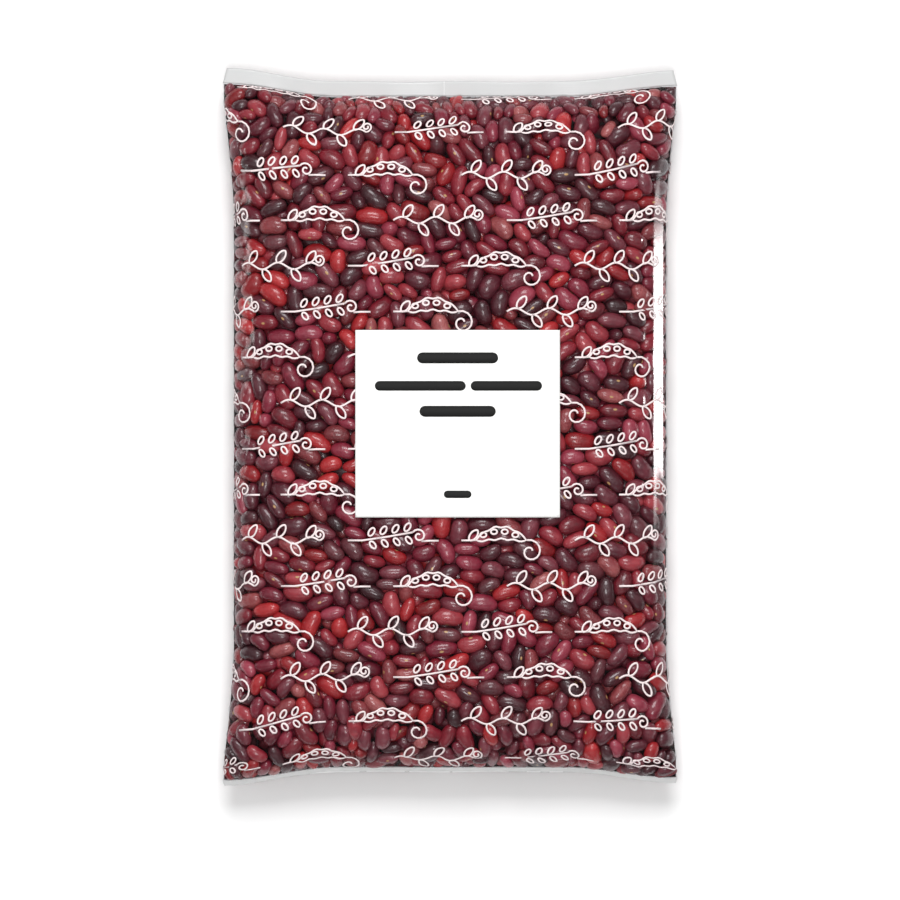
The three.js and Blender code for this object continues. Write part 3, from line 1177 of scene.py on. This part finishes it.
def make_print(film):
    """Rows of plant drawings round the film: the three motifs in turn, with each row shifted.
    Motifs whose middle is on the front are one piece, and the others a second one."""
    tables = unrolled_tables()
    drawings = [
        join_meshes([ribbon(points, closed) for points, closed in motif()])
        for motif in (pod_motif, vine_motif, sprig_motif)
    ]
    ink = plain_finish("white_flexographic_ink", "#F4E4E4", 0.45)
    ribbons = {"print_front": [], "print_back": []}
    for row in range(-8, 8):
        long_arc = ROW_PHASE + ROW_PITCH * row
        nearest = int(np.argmin(np.abs(tables[1] - long_arc)))
        half_girth = tables[3][nearest, -1] - PRINT_MARGIN
        for place in range(-6, 6):
            round_arc = (place + ROW_SHIFTS[row % 2]) * MOTIF_PITCH
            if round_arc < -half_girth or round_arc + MOTIF_WIDTH > half_girth:
                continue
            on_front = abs(round_arc + MOTIF_WIDTH / 2) < half_girth / 2
            flat, quads = drawings[(place + 2 * row) % 3]
            turn, v = roll_on(tables, round_arc + flat[:, 0], long_arc + flat[:, 1])
            points = on_film(film, turn, v, PRINT_LIFT + PRINT_THICKNESS * flat[:, 2:])
            ribbons["print_front" if on_front else "print_back"].append((points, quads))
    for name, meshes in ribbons.items():
        add_piece(build_mesh(name, *join_meshes(meshes)), ink)


# The label

LABEL_THICKNESS = 0.15 * MM
LABEL_LIFT = 0.35 * MM
LABEL_COLUMNS = 61
LABEL_ROWS = 57
BAR_LIFT = 0.02 * MM
BAR_THICKNESS = 0.05 * MM
BAR_TIP = 0.06 * MM  # half height that a bar keeps at its very end

# Bars in place of the label's lines: middle x and y from the label's middle, length and height
LABEL_BARS = [
    (0, 40.5, 50, 6.8),
    (-23, 23.3, 56, 6),
    (30, 23.3, 44, 6),
    (0, 7.6, 47, 6.8),
    (0, -43.5, 17, 4.6),
]


def label_height(film, x, y):
    """The label's underside: the film's plain form, raised wherever the film stands higher."""
    v = (y - MIDDLE_Y) / HALF_LENGTH
    across = x / half_width(v)
    turn = np.arccos(-across) / np.pi
    plain = film_height(across, v, True)
    return np.maximum(plain, on_film(film, turn, v, 0.0)[..., 2]) + LABEL_LIFT


def make_label(film):
    """The CAD label's outline laid on the film as thin paper."""
    low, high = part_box("label")
    columns = np.linspace(low[0], high[0], LABEL_COLUMNS)
    x, y = np.meshgrid(columns, np.linspace(low[1], high[1], LABEL_ROWS))
    lower = np.stack([x, y, label_height(film, x, y)], axis=-1)
    points, quads = slab_mesh(lower, lower + np.array([0, 0, LABEL_THICKNESS]))
    piece = build_mesh("label_sheet", points, quads)
    add_piece(piece, plain_finish("smooth_label_paper", "#FAFAF8", 0.5))
    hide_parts("label")
    middle = [(low[0] + high[0]) / 2, (low[1] + high[1]) / 2]
    make_label_bars(film, middle)


def make_label_bars(film, middle):
    """Round-ended black bars: the half height follows a half circle at each end."""
    bars = []
    for bar_x, bar_y, length, height in np.array(LABEL_BARS) * MM:
        cap = height / 2 * np.sin(np.linspace(-np.pi / 2, np.pi / 2, 9))
        straight = length / 2 - height / 2
        shaft = np.linspace(-straight, straight, 12)[1:-1]
        x = np.concatenate([-straight + cap[:5], shaft, straight + cap[4:]])
        over = np.maximum(np.abs(x) - straight, 0)
        half = np.sqrt(np.maximum((height / 2) ** 2 - over**2, BAR_TIP**2))
        grid_y = np.stack([-half, 0 * half, half]) + middle[1] + bar_y
        grid_x = np.broadcast_to(x + middle[0] + bar_x, grid_y.shape)
        base = label_height(film, grid_x, grid_y) + LABEL_THICKNESS + BAR_LIFT
        lower = np.stack([grid_x, grid_y, base], axis=-1)
        bars.append(slab_mesh(lower, lower + np.array([0, 0, BAR_THICKNESS])))
    piece = build_mesh("label_bars", *join_meshes(bars))
    add_piece(piece, plain_finish("black_thermal_print", "#0A0A0A", 0.8))


# The studio

PIXELS = 900
MM_PER_PIXEL = 0.62
VIEW_WIDTH = PIXELS * MM_PER_PIXEL * MM
VIEW_CENTRE_Y = -14.3 * MM
CAMERA_AWAY = 6.0
SENSOR_WIDTH = 36
SWEEP_HALF = 4.0
WORLD_STRENGTH = 0.19

# Lights: place, the point each is aimed at, its two sides and its power in watts
SOFTBOXES = {
    "key": ((0, 2.6, 3.4), (0, 0, 0), (2.0, 1.6), 130),
    "top_fill": ((0, -0.35, 2.8), (0, 0, 0), (0.8, 0.8), 30),
    "left_fill": ((-1.2, 0.1, 1.3), (0, 0, 0), (0.9, 1.2), 2),
    "right_fill": ((1.2, 0.1, 1.3), (0, 0, 0), (0.9, 1.2), 2),
    "foot_fill": ((0, -1.6, 1.0), (0, -0.2, 0), (1.6, 0.6), 3),
}
STRIPS = {
    "right_strip": ((0.921, 0.0613, 0.16), (0.129, 0.0613, 0.048), (0.2, 0.2), 14),
    "left_strip": ((-0.9, 0.118, 0.165), (-0.128, 0.118, 0.048), (0.13, 0.27), 1.7),
}


def add_light(name, place, aim, size, power):
    """A white rectangular light at a place, turned so that it shines towards its aim."""
    lamp = bpy.data.lights.new(name, "AREA")
    lamp.shape = "RECTANGLE"
    lamp.size, lamp.size_y = size
    lamp.energy = power
    holder = bpy.data.objects.new(name, lamp)
    holder.location = place
    holder.rotation_euler = (Vector(aim) - Vector(place)).to_track_quat("-Z", "Y").to_euler()
    bpy.context.scene.collection.objects.link(holder)
    return holder


def link_lights(lights, piece, state):
    """Lets lights reach only one piece, or every piece but that one. The softboxes' reflections
    are kept off the film, as a polarising filter does, and the strips light only the film."""
    group = bpy.data.collections.new(f"{piece.name}_{state.lower()}")
    group.objects.link(piece)
    group.collection_objects[0].light_linking.link_state = state
    for holder in lights:
        holder.light_linking.receiver_collection = group


def make_studio():
    """A camera straight above, a white sweep, and soft light mostly from the header's side.
    Returns the softboxes and the strips."""
    scene = bpy.context.scene
    eye = bpy.data.cameras.new("camera")
    eye.sensor_width = SENSOR_WIDTH
    eye.lens = eye.sensor_width * CAMERA_AWAY / VIEW_WIDTH
    camera = bpy.data.objects.new("camera", eye)
    camera.location = (0, VIEW_CENTRE_Y, SEAL_HEIGHT + CAMERA_AWAY)
    scene.collection.objects.link(camera)
    scene.camera = camera

    corners = SWEEP_HALF * np.array([(-1, -1, 0), (1, -1, 0), (1, 1, 0), (-1, 1, 0)])
    floor = build_mesh("floor", corners, [[0, 1, 2, 3]])
    floor.data.materials.append(plain_finish("white_paper_sweep", "#FBFBFB", 0.9))

    world = bpy.data.worlds.new("studio")
    world.use_nodes = True
    back = world.node_tree.nodes["Background"]
    back.inputs["Color"].default_value = srgb("#FFFFFF")
    back.inputs["Strength"].default_value = WORLD_STRENGTH
    scene.world = world
    scene.view_settings.view_transform = "Standard"
    return [[add_light(name, *light) for name, light in rig.items()] for rig in (SOFTBOXES, STRIPS)]


rng = np.random.default_rng(SEED)
softboxes, strips = make_studio()
size, turn, middle, balls, radius = settle_beans(rng)
make_beans(rng, size, turn, middle)
make_core()
film = shape_film(balls, radius)
film_piece = make_film(film)
link_lights(softboxes, film_piece, "EXCLUDE")
link_lights(strips, film_piece, "INCLUDE")
make_flaps()
make_lap_seal(film)
make_print(film)
make_label(film)
